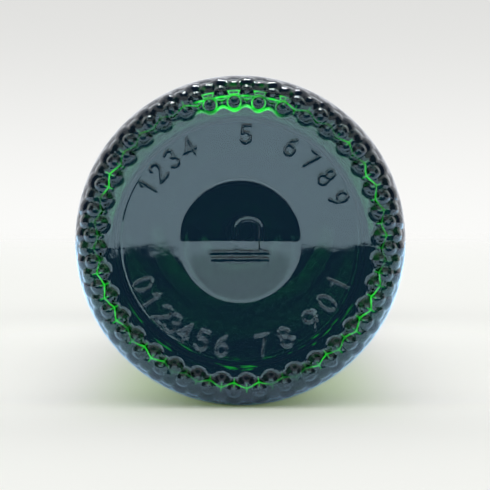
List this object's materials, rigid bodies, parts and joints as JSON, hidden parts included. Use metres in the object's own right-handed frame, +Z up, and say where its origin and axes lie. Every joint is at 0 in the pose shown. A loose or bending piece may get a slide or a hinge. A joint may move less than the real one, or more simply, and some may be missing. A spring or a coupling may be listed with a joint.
{
  "type": "glass soda bottle",
  "caption": "Tall green glass bottle lying on its side, with a dotted standing ring, a dimpled base and a fluted metal crown cap that lifts off the mouth.",
  "frame": {"origin": "on the surface that the bottle lies on, under the middle of its length", "axes": "+Y along the bottle from its base to its mouth, +Z up, +X to the right seen from the base"},
  "size_m": [0.075, 0.2998, 0.075],
  "materials": {
    "green_glass": "clear deep green, fire-polished",
    "crown_tinplate": "gold lacquer, semi-gloss",
    "liner_compound": "soft moulded compound"
  },
  "bodies": {
    "bottle": {"bottle_glass": "green_glass"},
    "cap": {"crown_shell": "crown_tinplate", "crown_liner": "liner_compound"}
  },
  "joints": [
    {"name": "cap_lift", "type": "slide", "parent": "bottle", "child": "cap", "axis": [0, 1, 0], "range_m": [0, 0.03]}
  ]
}
